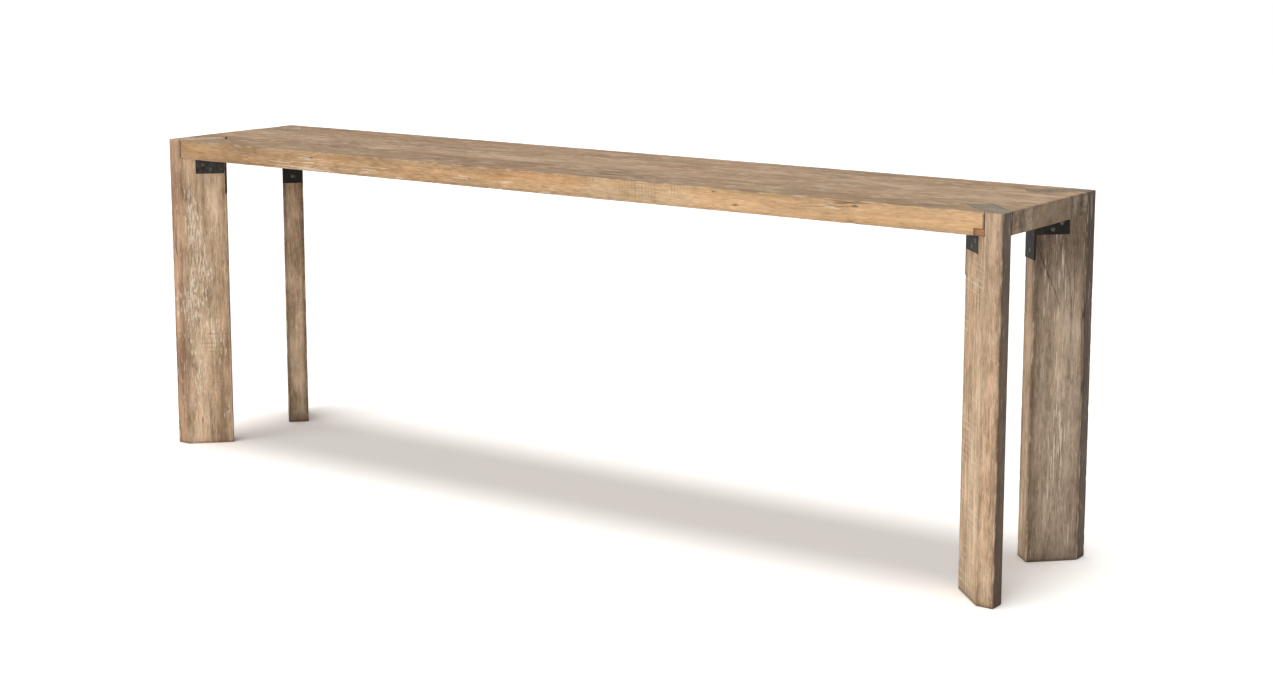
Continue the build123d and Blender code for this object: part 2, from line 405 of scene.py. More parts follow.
def use_group(name, **inputs):
    """Places a node group in a material with its own values."""
    return joined("Group", inputs, node_tree=bpy.data.node_groups[name]).outputs


def new_material(name):
    """A procedural material: itself, its node tree and its shader."""
    material = bpy.data.materials.new(name)
    material.use_nodes = True
    return material, material.node_tree, material.node_tree.nodes["Principled BSDF"]


# The noises in old wood: features to the metre along, across and through the plank, detail and roughness.
wood_noise = {
    "long_drift": ((0.9, 5, 5), 2), "short_drift": ((9, 30, 30), 2),
    "cloud": ((2.4, 14, 14), 4, 0.6), "mottle": ((13, 26, 26), 5, 0.62),
    "streak": ((4, 85, 85), 5, 0.62), "fibre": ((42, 330, 330), 4, 0.66), "pores": ((36, 600, 600), 2),
    "weathered": ((3, 24, 24), 4, 0.6), "ruddy": ((1.8, 26, 26), 4, 0.62),
    "stroke": ((0.37, 1, 1), 1), "saw_patch": ((10, 8, 8), 3), "saw_left": ((16, 34, 34), 2),
    "fleck": ((1, 1, 1), 4, 0.6), "fleck_patch": ((7, 24, 24), 2),
    "crack": ((1.7, 26, 26), 3), "crack_patch": ((2.5, 9, 9), 2),
    "rub": ((24, 90, 90), 4, 0.62), "knot": ((120, 400, 400), 3, 0.6), "check": ((60, 60, 60), 3, 0.6),
}
# How far some of them swing about nought, and between which values others turn into masks.
wood_swing = {
    "long_drift": 50 * mm, "short_drift": 6 * mm, "cloud": 6, "mottle": 5, "streak": 6, "fibre": 6,
    "stroke": 3.0, "fleck_patch": 0.5, "crack": 1.0, "knot": 1.8, "check": 12 * mm,
}
wood_mask = {
    "pores": (0.58, 0.72), "weathered": (0.42, 0.68), "ruddy": (0.44, 0.66),
    "saw_patch": (0.95, 1.15), "saw_left": (0.35, 0.6), "fleck": (1.0, 1.07),
    "crack": (0.0, 0.012), "crack_patch": (1.0, 1.1), "rub": (0.85, 1.1),
    "knot": (0.1, 1.1), "check": (0.3 * mm, 1.7 * mm), "joint": (0.45, 1.0),
}
dark_tint, pale_tint = (0.56, 0.52, 0.48), (1.45, 1.52, 1.60)
grey_tint, ruddy_tint = (0.83, 0.84, 0.84), (1.04, 0.94, 0.83)
pore_strength, pore_depth = 0.35, -0.3
streak_relief, fibre_relief = 0.5, 0.5
knot_length = 3


def wood_swung(place, key):
    """One of wood's noises as a swing about nought."""
    return swing(noise(place, *wood_noise[key]), wood_swing[key])


def wood_masked(place, key, cover=0.0):
    """One of wood's noises as a mask, with a cover added first."""
    covered = sums("ADD", noise(place, *wood_noise[key]), cover)
    return eased(covered, *wood_mask[key])


def plank_grain():
    """Old wood as a solid. Clouds, mottle, streaks and fibres, all along the plank and drifting a little to
    the side, add up to a tone that takes the ground towards a dark or a pale tint of itself. The clouds and
    mottle grow with the figure, the lines with its square root. Pores, grey and ruddy parts come on top."""
    inputs = ["Grain", "Ground", "Cloud", "Streak", "Fibre", "Grey", "Ruddy", "Figure"]
    given, result = new_group("plank_grain", inputs, ["Color", "Height"])
    long_drift = wood_swung(given["Grain"], "long_drift")
    drift = sums("ADD", long_drift, wood_swung(given["Grain"], "short_drift"))
    drift = joined("CombineXYZ", {"Y": drift, "Z": drift}).outputs[0]
    warped = vectors("ADD", given["Grain"], drift)
    patches = sums("ADD", wood_swung(warped, "cloud"), wood_swung(warped, "mottle"))
    patches = times(times(patches, given["Cloud"]), given["Figure"])
    streak, fibre = (noise(warped, *wood_noise[key]) for key in ("streak", "fibre"))
    lines = times(swing(streak, wood_swing["streak"]), given["Streak"])
    lines = sums("MULTIPLY_ADD", swing(fibre, wood_swing["fibre"]), given["Fibre"], lines)
    tone = sums("MULTIPLY_ADD", lines, sums("SQRT", given["Figure"]), patches)
    dark, pale = (vectors("MULTIPLY", given["Ground"], tint) for tint in (dark_tint, pale_tint))
    stained = given["Ground"]
    for full, tinted in ((-1.0, dark), (1.0, pale)):
        share = joined("MapRange", {"Value": tone, "From Min": 0.0, "From Max": full}).outputs[0]
        stained = blended(share, stained, tinted)
    pores = wood_masked(warped, "pores")
    stained = blended(times(pores, pore_strength), stained, dark)
    for key, amount, tint in (("weathered", "Grey", grey_tint), ("ruddy", "Ruddy", ruddy_tint)):
        mask = times(wood_masked(warped, key), given[amount])
        stained = blended(mask, stained, vectors("MULTIPLY", stained, tint))
    relief = sums("MULTIPLY_ADD", streak, streak_relief, times(fibre, fibre_relief))
    fill(result, {"Color": stained, "Height": sums("MULTIPLY_ADD", pores, pore_depth, relief)})


def saw_marks():
    """Strokes of the saw across the grain, a pitch apart and unevenly so: thin lines where the sine of the
    strokes is near nought. They are broken, and left in patches where the plane hasn't taken them out."""
    given, result = new_group("saw_marks", ["Grain", "Pitch", "Slope", "Width", "Cover"], ["Mask"])
    parts = joined("SeparateXYZ", {0: given["Grain"]}).outputs
    slant = sums("MULTIPLY_ADD", sums("ADD", parts[1], parts[2]), given["Slope"], parts[0])
    strokes = sums("DIVIDE", slant, given["Pitch"])
    stroke_line = joined("CombineXYZ", {"X": strokes}).outputs[0]
    uneven = wood_swung(stroke_line, "stroke")
    turns = times(sums("ADD", strokes, uneven), math.pi)
    edge = sums("ABSOLUTE", sums("SINE", turns))
    cuts = falling(edge, 0.0, given["Width"])
    cuts = times(cuts, wood_masked(given["Grain"], "saw_left"))
    patch = wood_masked(given["Grain"], "saw_patch", given["Cover"])
    fill(result, {"Mask": times(cuts, patch)})


def grain_flecks():
    """Flecks along the grain: limewash or faded wood where they are pale, dirt where they are dark. Noise
    of their length and width, plus broad patches and the cover, is cut off at one."""
    given, result = new_group("grain_flecks", ["Grain", "Length", "Width", "Cover"], ["Mask"])
    sizes = {"X": given["Length"], "Y": given["Width"], "Z": given["Width"]}
    strips = vectors("DIVIDE", given["Grain"], joined("CombineXYZ", sizes).outputs[0])
    patch = sums("ADD", wood_swung(given["Grain"], "fleck_patch"), given["Cover"])
    fill(result, {"Mask": wood_masked(strips, "fleck", patch)})


def drying_cracks():
    """Long thin cracks along the grain: lines where a stretched noise crosses its middle, in patches."""
    given, result = new_group("drying_cracks", ["Grain", "Cover"], ["Mask"])
    veins = sums("ABSOLUTE", wood_swung(given["Grain"], "crack"))
    split = falling(veins, *wood_mask["crack"])
    patch = wood_masked(given["Grain"], "crack_patch", given["Cover"])
    fill(result, {"Mask": times(split, patch)})


def worn_arris():
    """Worn arrises: rubbed pale in short uneven lengths, and dark with old wax between them."""
    given, result = new_group("worn_arris", ["Worn", "Grain", "Rub"], ["Rubbed", "Waxed"])
    uneven = sums("ADD", noise(given["Grain"], *wood_noise["rub"]), given["Rub"])
    rubbed = eased(times(given["Worn"], uneven), *wood_mask["rub"])
    waxed = times(eased(given["Worn"], 0.0, 1.0), sums("SUBTRACT", 1.0, rubbed))
    fill(result, {"Rubbed": rubbed, "Waxed": waxed})


def pin_knot():
    """A pin knot: a dark eye with a ragged rim, longer along the grain, fading in sizes from its middle."""
    given, result = new_group("pin_knot", ["Grain", "Middle", "Size"], ["Mask"])
    away = vectors("SUBTRACT", given["Grain"], given["Middle"])
    away = vectors("MULTIPLY", away, (1, knot_length, knot_length))
    away = joined("VectorMath", {0: away}, operation="LENGTH").outputs["Value"]
    eye = sums("ADD", sums("DIVIDE", away, given["Size"]), wood_swung(given["Grain"], "knot"))
    fill(result, {"Mask": falling(eye, *wood_mask["knot"])})


def slanting_check():
    """One check across the grain: a crooked crack along the line where its distance is nought."""
    given, result = new_group("slanting_check", ["Grain", "Distance", "Cover"], ["Mask"])
    crooked = sums("ADD", given["Distance"], wood_swung(given["Grain"], "check"))
    open_crack = falling(sums("ABSOLUTE", crooked), *wood_mask["check"])
    fill(result, {"Mask": times(open_crack, given["Cover"])})


# Each effect is built once, as a node group of its own name.
for effect in (plank_grain, saw_marks, grain_flecks, drying_cracks, worn_arris, pin_knot, slanting_check):
    effect()

# How strong each mark is on the boards, how much it covers, its sizes and its colour. The legs change some
# of these. The values after them are the same for all the wood.
old_marks = {
    "cloud": 0.42, "streak": 0.36, "fibre": 0.55, "grey": 0.6, "ruddy": 0.9,
    "saw": 0.5, "saw_width": 0.45, "saw_pitch": 9 * mm, "saw_slope": 0.05, "saw_cover": 0.3,
    "saw_colour": colour(112, 92, 72),
    "lime": 0.275, "lime_gain": 0.24, "lime_length": 110 * mm, "lime_colour": colour(240, 222, 194),
    "faded": 0.47, "faded_length": 40 * mm, "faded_width": 13 * mm,
    "dirt": 0.33, "crack": 0.43, "wax": 0.2, "rub": 0.42,
}
sawn_gain = 0.36
lime_width, dirt_width, dirt_length = 4 * mm, 4 * mm, 30 * mm
dirt_shift, faded_shift = (3.1, 1.7, 2.3), (5.3, 2.9, 4.1)
faded_colour, rub_colour = colour(226, 200, 172), colour(224, 196, 162)
dirt_colour, crack_colour = colour(84, 64, 48), colour(50, 38, 29)
faded_strength, dirt_strength, lime_strength, rub_strength = 0.27, 0.45, 0.75, 0.55
crack_strength, joint_strength, knot_strength = 0.8, 0.8, 0.7
saw_depth, lime_rise, crack_depth = -0.4, 0.3, -1.6
bump_strength, bump_height = 0.6, 1.0 * mm
wood_rough, grain_rough = 0.58, 0.25
wood_gloss = 0.25


def flecks(grain, length, width, cover):
    """The mask of one kind of fleck in a material."""
    return use_group("grain_flecks", Grain=grain, Length=length, Width=width, Cover=cover)["Mask"]


def wood_material(name, marks, knots=()):
    """Old wood, whose ground colour, figure, fading, wear, joints, limewash, saw marks and checks are
    attributes of its mesh. The marks are laid over the grain one by one, each by its own mask."""
    material, tree, shader = new_material(name)
    keys = ("ground", "grain", "figure", "faded", "worn", "joint", "limed", "sawn", "check", "checked")
    read = {key: node(tree, "Attribute", attribute_name=key).outputs for key in keys}
    grain = read["grain"]["Vector"]
    amounts = {key.title(): marks[key] for key in ("cloud", "streak", "fibre", "grey", "ruddy")}
    ground, figure = read["ground"]["Color"], read["figure"]["Fac"]
    wood = use_group("plank_grain", Grain=grain, Ground=ground, Figure=figure, **amounts)
    sawn = sums("MULTIPLY_ADD", read["sawn"]["Fac"], sawn_gain, marks["saw_cover"])
    saw = use_group(
        "saw_marks", Grain=grain, Pitch=marks["saw_pitch"], Slope=marks["saw_slope"],
        Width=marks["saw_width"], Cover=sawn,
    )["Mask"]
    limed = sums("MULTIPLY_ADD", read["limed"]["Fac"], marks["lime_gain"], marks["lime"])
    lime = flecks(grain, marks["lime_length"], lime_width, limed)
    dirt = flecks(vectors("ADD", grain, dirt_shift), dirt_length, dirt_width, marks["dirt"])
    shifted = vectors("ADD", grain, faded_shift)
    faded = flecks(shifted, marks["faded_length"], marks["faded_width"], marks["faded"])
    faded = times(faded, read["faded"]["Fac"])
    cracks = use_group("drying_cracks", Grain=grain, Cover=marks["crack"])["Mask"]
    check = use_group(
        "slanting_check", Grain=grain, Distance=read["check"]["Fac"], Cover=read["checked"]["Fac"],
    )["Mask"]
    cracks = sums("MAXIMUM", cracks, check)
    arris = use_group("worn_arris", Worn=read["worn"]["Fac"], Grain=grain, Rub=marks["rub"])
    joint = eased(read["joint"]["Fac"], *wood_mask["joint"])
    layers = [
        (faded, faded_strength, faded_colour),
        (dirt, dirt_strength, dirt_colour),
        (lime, lime_strength, marks["lime_colour"]),
        (saw, marks["saw"], marks["saw_colour"]),
        (arris["Waxed"], marks["wax"], dirt_colour),
        (arris["Rubbed"], rub_strength, rub_colour),
        (cracks, crack_strength, crack_colour),
        (joint, joint_strength, crack_colour),
    ]
    for middle, size in knots:
        eye = use_group("pin_knot", Grain=grain, Middle=middle, Size=size)["Mask"]
        layers.append((eye, knot_strength, crack_colour))
    shown = wood["Color"]
    for mask, strength, over in layers:
        shown = blended(times(mask, strength), shown, over)
    height = wood["Height"]
    for mask, rise in ((saw, saw_depth), (lime, lime_rise), (cracks, crack_depth)):
        height = sums("MULTIPLY_ADD", mask, rise, height)
    bump = joined("Bump", {"Height": height, "Strength": bump_strength, "Distance": bump_height})
    fill(shader, {
        "Base Color": shown,
        "Normal": bump.outputs[0],
        "Roughness": sums("MULTIPLY_ADD", wood["Height"], grain_rough, wood_rough),
        "Specular IOR Level": wood_gloss,
    })
    return material


# Pin knots on the front edge: places along it and up, and sizes.
knots = []
for x, z, size in (
    (0.576, 0.797, 13 * mm), (0.519, 0.822, 9 * mm), (0.877, 0.818, 12 * mm),
    (-0.699, 0.814, 10 * mm), (-0.18, 0.8, 8 * mm),
):
    knots.append((tuple((x, table_low[1], z) + board_shift * first_board), size))
plank_wood = wood_material("plank_wood", old_marks, knots)
for count, board in enumerate(top_colour):
    piece = board_skin(board, *board_plan(board), first_board + count)
    piece.data.materials.append(plank_wood)
    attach(piece, "root")
    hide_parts("top_board_" + board)

# Loose tongues
# Two planed strips glued into grooves inside the seams, out of sight once the top is together.
tongue_wood, tree, shader = new_material("tongue_strip")
strip = use_group(
    "plank_grain", Grain=node(tree, "TexCoord").outputs["Object"], Ground=colour(196, 164, 124),
    Cloud=0.3, Streak=0.4, Fibre=0.4, Grey=0.0, Ruddy=0.3, Figure=1.0,
)
fill(shader, {"Base Color": strip["Color"]})


def dress(name, material):
    """Gives a CAD node its material."""
    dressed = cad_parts[name].data.materials
    dressed.clear()
    dressed.append(material)


for name in ("tongue_front", "tongue_back"):
    dress(name, tongue_wood)

# Legs
# Four thick planks on end, set on the diagonals of the corners. The outer end is cut to a point that lies
# flush with the top's edges, the upper end shows as a lozenge in the top, and the arrises are knocked.
table_height = table_high[2]
leg_arris, foot_arris, joint_arris = 3.3 * mm, 2.8 * mm, 0.5 * mm
least_leg_arris = 0.8 * leg_arris
leg_waves, leg_sway = (0.5, 0.17, 0.07), 0.2
leg_nicks = 26
face_waves, face_hollow = (0.6, 0.21, 0.08), 0.4 * mm
row_step, column_step = 5 * mm, 12 * mm
face_margin, column_spare = 24 * mm, 1.2 * mm
corner_steps = 5
near_arris, near_wear = np.array([4, 10]) * mm, (0.6, 0.3)
leg_corner = by_corner((-1, -1), (1, -1), (-1, 1), (1, 1))
crown_arris = by_corner(2.4 * mm, 2.4 * mm, 6 * mm, 2.6 * mm)
crown_round, crown_reach = by_corner(0, 0, 9 * mm, 0), 50 * mm
nick_depth = by_corner(2 * mm, 1.1 * mm, 2 * mm, 2.4 * mm)
nick_seed, face_seed, faces_apart = 20, 40, 9
first_leg, legs_apart = 60, 100
leg_shift = np.array([0.13, 0.021, 0.017])
# A leg's outline from its tip inwards and across: a facet, a wide face, the inner end, the other wide face
# and a facet. The colours follow these sides, and the last one is the end grain of the crown.
half_leg = leg_thickness / 2
leg_outline = np.array([
    (0, 0), (half_leg, -half_leg), (leg_width, -half_leg), (leg_width, half_leg), (half_leg, half_leg),
])
leg_sides = len(leg_outline)
side_along = np.roll(leg_outline, -1, axis=0) - leg_outline
side_length = np.linalg.norm(side_along, axis=1)
side_along = side_along / side_length[:, None]
side_outward = np.stack([side_along[:, 1], -side_along[:, 0]], axis=1)
# The right-facing facets, the first side of the front right leg and the fifth of the back right leg, are
# much darker than the rest of the wood: partly the wood's tone, partly painted shade on the side away from
# the light.
leg_colour_and_painted_shade = by_corner(
    [(188, 151, 122), (214, 183, 151), (170, 144, 118), (184, 154, 126), (180, 148, 121), (178, 154, 130)],
    [(105, 89, 75), (170, 146, 122), (180, 150, 120), (206, 176, 144), (206, 173, 141), (131, 119, 102)],
    [(176, 150, 122), (184, 156, 127), (210, 181, 150), (180, 154, 126), (176, 150, 122), (168, 146, 122)],
    [(160, 138, 114), (174, 152, 128), (226, 196, 162), (192, 169, 146), (104, 91, 78), (138, 122, 103)],
)
on_wide_face, past_facet = 27 * mm, 30 * mm
foot_wear, foot_wear_reach = 0.7, 30 * mm
# Bell curves by the height, by the place in from the tip and by the place across, that make a leg darker or
# paler. It is darker just below the top boards and irons, which is painted shade, darker towards the foot,
# with a thin painted contact shadow at the floor, and paler where it is rubbed through.
foot_reach, contact_shadow_line = 70 * mm, 5 * mm
overall_level = by_corner(1.0, 1.0, 0.98, 1.0)
shade_up = by_corner(
    [(-0.14, 0.71, 0.05), (-0.5, 0, contact_shadow_line)],
    [(-0.12, 0, foot_reach), (-0.5, 0, contact_shadow_line)],
    [(-0.3, 0.74, 0.1), (-0.35, 0, foot_reach), (-0.4, 0, contact_shadow_line)],
    [(-0.5, 0.74, 0.1), (-0.16, 0, foot_reach), (-0.5, 0, contact_shadow_line)],
)
face_up, facet_up = [(-0.1, 0.76, 0.05), (0.1, 0.5, 0.09)], [(-0.24, 0.7, 0.15), (0.12, 0.28, 0.13)]
left_rub_across, left_rub_up = [(0.26, 9 * mm, 6 * mm)], [(1.0, 0.26, 0.26)]
right_rub_in, right_rub_up = [(0.3, 86 * mm, 8 * mm)], [(1.0, 0.42, 0.2)]
right_rub_lean, lean_from = 0.03, 0.4
right_dark_in = [(-0.14, 135 * mm, 14 * mm)]
# Limewash and saw marks in the same way. The crowns keep less of both than the sides do.
lime_in = by_corner([(1.0, 55 * mm, 30 * mm)], [], [], [(0.8, 84 * mm, 18 * mm)])
lime_up = by_corner([(1.0, 0.45, 0.25)], [], [], [(1.0, 0.42, 0.22)])
lime_lost = [(-0.8, 0.78, 0.08)]
saw_in, saw_up = [(1.0, 115 * mm, 40 * mm)], [(1.0, 0.29, 0.05), (1.0, 0.15, 0.045)]
crown_unlimed, crown_unsawn = 0.6, 2.0
# The long check in the back right leg: a place that it passes, its lean, and the heights where it is open.
check_in, check_up, check_lean = 99 * mm, 0.612, 0.41
check_middle, check_reach = 0.665, 80 * mm


def leg_shade(corner, inner, across, level):
    """How light or dark a leg is: its level plus its bell curves. The darkening below the top boards is
    painted shade, and the thin dark line at the floor is a painted contact shadow.
    """
    shade = overall_level[corner] + bells(level, shade_up[corner])
    if corner == "front_right":
        shade += np.where(across > on_wide_face, bells(level, face_up), bells(level, facet_up))
    if corner == "back_left":
        shade += bells(across, left_rub_across) * bells(level, left_rub_up)
    if corner == "back_right":
        leaning = inner - right_rub_lean * (level - lean_from)
        shade += bells(leaning, right_rub_in) * bells(level, right_rub_up) + bells(inner, right_dark_in)
    return shade


def leg_lime(corner, inner, across, level):
    """Where a leg keeps its limewash: bell curves of the place in from the tip and of the height."""
    kept = bells(inner, lime_in[corner]) * bells(level, lime_up[corner])
    if corner == "front_left":
        return kept * (across < 0) + bells(level, lime_lost)
    return kept * (across > 0)


def leg_sawn(corner, inner, across, level):
    """Where a leg keeps its saw marks: one wide face, or bell curves of place and height on it."""
    if corner == "front_left":
        return bells(inner, saw_in) * bells(level, saw_up) * (across < 0)
    if corner == "front_right":
        return 1.0 * (across > on_wide_face) * (inner > past_facet)
    return 0 * level


def leg_arcs(corner, height, seed, deepest):
    """A leg's arrises at each height: for each corner of the outline an arc from the side before it to the
    side after, and the arc's rays. Its radius wanders with the height and grows at the knocks."""
    arcs, rays = [], []
    for side in range(leg_sides):
        before, out_before = side_along[side - 1], side_outward[side - 1]
        after, out_after = side_along[side], side_outward[side]
        bend = math.atan2(before[0] * after[1] - before[1] * after[0], before @ after)
        radius = leg_arris + wander(height, seed + side, leg_waves, leg_sway * deepest)
        radius = radius + nicks(height, seed + nick_seed + side, leg_nicks, 0, table_height, deepest)
        radius = np.clip(radius, least_leg_arris, largest_arris)
        if side == 0:
            radius = radius + crown_round[corner] * bell(height, table_height, crown_reach)
        angle = np.linspace(0, bend, corner_steps)[:, None]
        ray = np.cos(angle) * out_before + np.sin(angle) * before
        inset = (out_before + out_after) / (1 + out_before @ out_after)
        centre = leg_outline[side] - radius[:, None] * inset
        arcs.append(centre[:, None] + radius[:, None, None] * ray)
        rays.append(ray)
    return arcs, rays


def leg_skin(corner, seed, deepest):
    """A plank on end: the pointed outline carried up the height. The faces run from arc to arc with a
    slight hollow that wanders. At foot and crown, quarter circles take the outline in by small radii."""
    turn = np.linspace(0, np.pi / 2, arris_steps)
    crown = crown_arris[corner]
    stand = np.linspace(foot_arris, table_height - crown, round(table_height / row_step))
    height = np.concatenate([0 * turn[:-1] + foot_arris, stand, 0 * turn[1:] + table_height - crown])
    arcs, rays = leg_arcs(corner, height, seed, deepest)
    # These tones hold the painted shade of the right-facing facets.
    tones = np.array([colour(*tone) for tone in leg_colour_and_painted_shade[corner]])
    blend = np.linspace(0, 1, corner_steps)[:, None]
    skin, inward, worn, ground, crown_radius = [], [], [], [], []
    for side in range(leg_sides):
        length, outward = side_length[side], side_outward[side]
        start, finish = arcs[side][:, -1], arcs[(side + 1) % leg_sides][:, 0]
        between = np.arange(face_margin, length - face_margin + column_spare, column_step)
        spots = np.concatenate([near_arris, between, length - near_arris[::-1]]) / length
        columns = len(spots)
        seeds = seed + face_seed + faces_apart * side + np.arange(columns)
        hollow = [abs(wander(height, column, face_waves, face_hollow)) for column in seeds]
        face = start[:, None] + spots[None, :, None] * (finish - start)[:, None]
        skin += [arcs[side], face - np.stack(hollow, axis=1)[..., None] * outward]
        inward += [-rays[side], np.tile(-outward, (columns, 1))]
        beside = np.zeros(columns)
        beside[[0, -1]], beside[[1, -2]] = near_wear
        worn += [np.ones(corner_steps), beside]
        turning = tones[(side - 1) % leg_sides] * (1 - blend) + tones[side] * blend
        ground += [turning, np.tile(tones[side], (columns, 1))]
        arc_crown = crown if side == 0 else joint_arris
        face_crown = crown if side in (0, leg_sides - 1) else joint_arris
        crown_radius += [np.full(corner_steps, arc_crown), np.full(columns, face_crown)]
    skin, inward = np.concatenate(skin, axis=1), np.concatenate(inward)
    worn, ground, crown_radius = (np.concatenate(parts) for parts in (worn, ground, crown_radius))
    inset = np.zeros(skin.shape[:2])
    level = np.tile(height[:, None], skin.shape[1])
    inset[:arris_steps] = foot_arris * (1 - np.sin(turn))[:, None]
    level[:arris_steps] = foot_arris * (1 - np.cos(turn))[:, None]
    inset[-arris_steps:] = crown_radius * (1 - np.cos(turn))[:, None]
    level[-arris_steps:] = table_height - crown_radius * (1 - np.sin(turn))[:, None]
    plan = skin + inset[..., None] * inward
    inner, across = plan[..., 0], plan[..., 1]
    outer = np.array(leg_corner[corner])
    inner_axis = -outer / math.sqrt(2)
    cross_axis = np.array([-inner_axis[1], inner_axis[0]])
    flat = table_high[:2] * outer + plan[..., :1] * inner_axis + plan[..., 1:] * cross_axis
    on_crown = np.zeros((len(height), 1))
    on_crown[-arris_steps:, 0] = np.linspace(0, 1, arris_steps)
    # The ground takes the leg's shade, which includes painted shade below the top boards and a painted
    # contact shadow at the floor.
    ground = ground * leg_shade(corner, inner, across, level)[..., None]
    whole = np.ones_like(level)
    return closed_skin("leg_" + corner + "_worn", np.concatenate([flat, level[..., None]], axis=-1), {
        "grain": np.concatenate([level[..., None], plan], axis=-1) + leg_shift * seed,
        "ground": ground + on_crown[..., None] * (tones[-1] - ground),
        "figure": whole,
        "faded": whole,
        "worn": np.maximum(whole * worn, foot_wear * bell(level, 0, foot_wear_reach)),
        "joint": 0 * whole,
        "limed": leg_lime(corner, inner, across, level) - crown_unlimed * on_crown,
        "sawn": leg_sawn(corner, inner, across, level) - crown_unsawn * on_crown,
        "check": inner - check_in - check_lean * (level - check_up),
        "checked": (corner == "back_right") * bell(level, check_middle, check_reach) * (across > 0),
    })


leg_finish = {
    "cloud": 0.62, "streak": 0.62, "fibre": 0.62, "faded": 0.38, "faded_length": 60 * mm,
    "faded_width": 7 * mm, "dirt": 0.31, "lime_length": 28 * mm, "saw_width": 0.35,
}
leg_marks = by_corner(
    {
        "saw": 0.55, "saw_pitch": 12 * mm, "saw_slope": 0.02, "saw_cover": 0.36,
        "lime": 0.385, "lime_gain": 0.14, "lime_colour": colour(255, 243, 220),
        "dirt": 0.27, "fibre": 0.5, "wax": 0.25, "ruddy": 0.7,
    },
    {
        "saw": 0.62, "saw_width": 0.4, "saw_pitch": 15 * mm, "saw_slope": -0.045, "saw_cover": 0.2,
        "saw_colour": colour(246, 228, 202), "wax": 0.35, "ruddy": 0.7,
    },
    {"saw": 0.4, "saw_slope": 0.02, "saw_cover": 0.46, "wax": 0.65, "ruddy": 0.4},
    {
        "saw": 0.4, "saw_slope": 0.1, "saw_cover": 0.24,
        "lime": 0.36, "lime_gain": 0.19, "lime_length": 90 * mm, "lime_colour": colour(255, 240, 214),
        "cloud": 0.5, "streak": 0.48, "wax": 0.5, "ruddy": 0.2,
    },
)
for count, corner in enumerate(leg_corner):
    leg = leg_skin(corner, first_leg + legs_apart * count, nick_depth[corner])
    marks = {**old_marks, **leg_finish, **leg_marks[corner]}
    leg.data.materials.append(wood_material("leg_wood_" + corner, marks))
    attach(leg, "root")
    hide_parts("leg_" + corner)

# Repair patch
# A small reddish block let into the lower front edge beside the front right leg, glued and planed flush.
patch_rough = 0.6
glue_width, glue_strength = (0.4 * mm, 2.2 * mm), 0.8
dark_end_reach, dark_end_strength = 16 * mm, 0.5
patch_wood, tree, shader = new_material("patch_block")
block = use_group(
    "plank_grain", Grain=node(tree, "TexCoord").outputs["Object"], Ground=colour(162, 110, 70),
    Cloud=0.1, Streak=0.5, Fibre=0.6, Grey=0.2, Ruddy=0.0, Figure=1.0,
)
patch_low, patch_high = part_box("edge_patch")
spot = joined("SeparateXYZ", {0: node(tree, "TexCoord").outputs["Object"]}).outputs
from_left = sums("SUBTRACT", spot[0], patch_low.x)
from_right = sums("SUBTRACT", patch_high.x, spot[0])
from_top = sums("SUBTRACT", patch_high.z, spot[2])
rim = sums("MINIMUM", sums("MINIMUM", from_left, from_right), from_top)
dark_end = times(falling(from_left, 0.0, dark_end_reach), dark_end_strength)
glue_line = times(falling(rim, *glue_width), glue_strength)
shown = blended(dark_end, block["Color"], dirt_colour)
shown = blended(glue_line, shown, crack_colour)
fill(shader, {"Base Color": shown, "Roughness": patch_rough})
dress("edge_patch", patch_wood)

# Iron angles
# Three rolled angles hold each leg under the top, let into the wood so that they stand barely proud. They
# are blackened and waxed, with a little rust in the grain of the scale and softened arrises.
# Each corner's iron has its own colours, partly painted shade: darkest at the back left, where the iron
# lies in shade under the top.
iron_dark_with_painted_shade = by_corner((34, 34, 32), (17, 17, 16), (10, 10, 9), (13, 13, 12))
iron_grey_with_painted_shade = by_corner((76, 74, 69), (44, 43, 40), (30, 29, 27), (38, 36, 34))
rust_colour, scuff_colour = colour(84, 60, 44), colour(118, 117, 108)
rust_strength, scuff_strength = 0.3, 0.3
iron_noise = {
    "scale": ((90, 90, 90), 5, 0.6), "rust": ((14, 14, 14), 3), "scuffs": ((160, 160, 30), 4, 0.65),
}
iron_mask = {"scale": (0.3, 0.75), "rust": (0.56, 0.75), "scuffs": (0.56, 0.74)}
iron_rough, scale_rough = 0.4, 0.35
iron_bump, scale_height = 0.4, 0.5 * mm
iron_gloss = 0.2
same_corner, same_plane = 0.01 * mm, math.radians(2)
eased_arris, eased_steps, eased_angle = 0.6 * mm, 2, math.radians(50)


def iron_material(corner):
    """Blackened iron: dark scale with paler grain, rust in clouds, and scuffs that run up and down. Its
    colours at each corner carry painted shade, darkest at the back left.
    """
    material, tree, shader = new_material("blackened_iron_painted_shade_" + corner)
    spot = node(tree, "TexCoord").outputs["Object"]
    worked = {key: noise(spot, *iron_noise[key]) for key in iron_noise}
    mask = {key: eased(worked[key], *iron_mask[key]) for key in iron_noise}
    shown = blended(mask["scale"], colour(*iron_dark_with_painted_shade[corner]), colour(*iron_grey_with_painted_shade[corner]))
    shown = blended(times(mask["rust"], rust_strength), shown, rust_colour)
    shown = blended(times(mask["scuffs"], scuff_strength), shown, scuff_colour)
    bump = joined("Bump", {"Height": worked["scale"], "Strength": iron_bump, "Distance": scale_height})
    fill(shader, {
        "Base Color": shown,
        "Normal": bump.outputs[0],
        "Roughness": sums("MULTIPLY_ADD", worked["scale"], scale_rough, iron_rough),
        "Specular IOR Level": iron_gloss,
    })
    return material


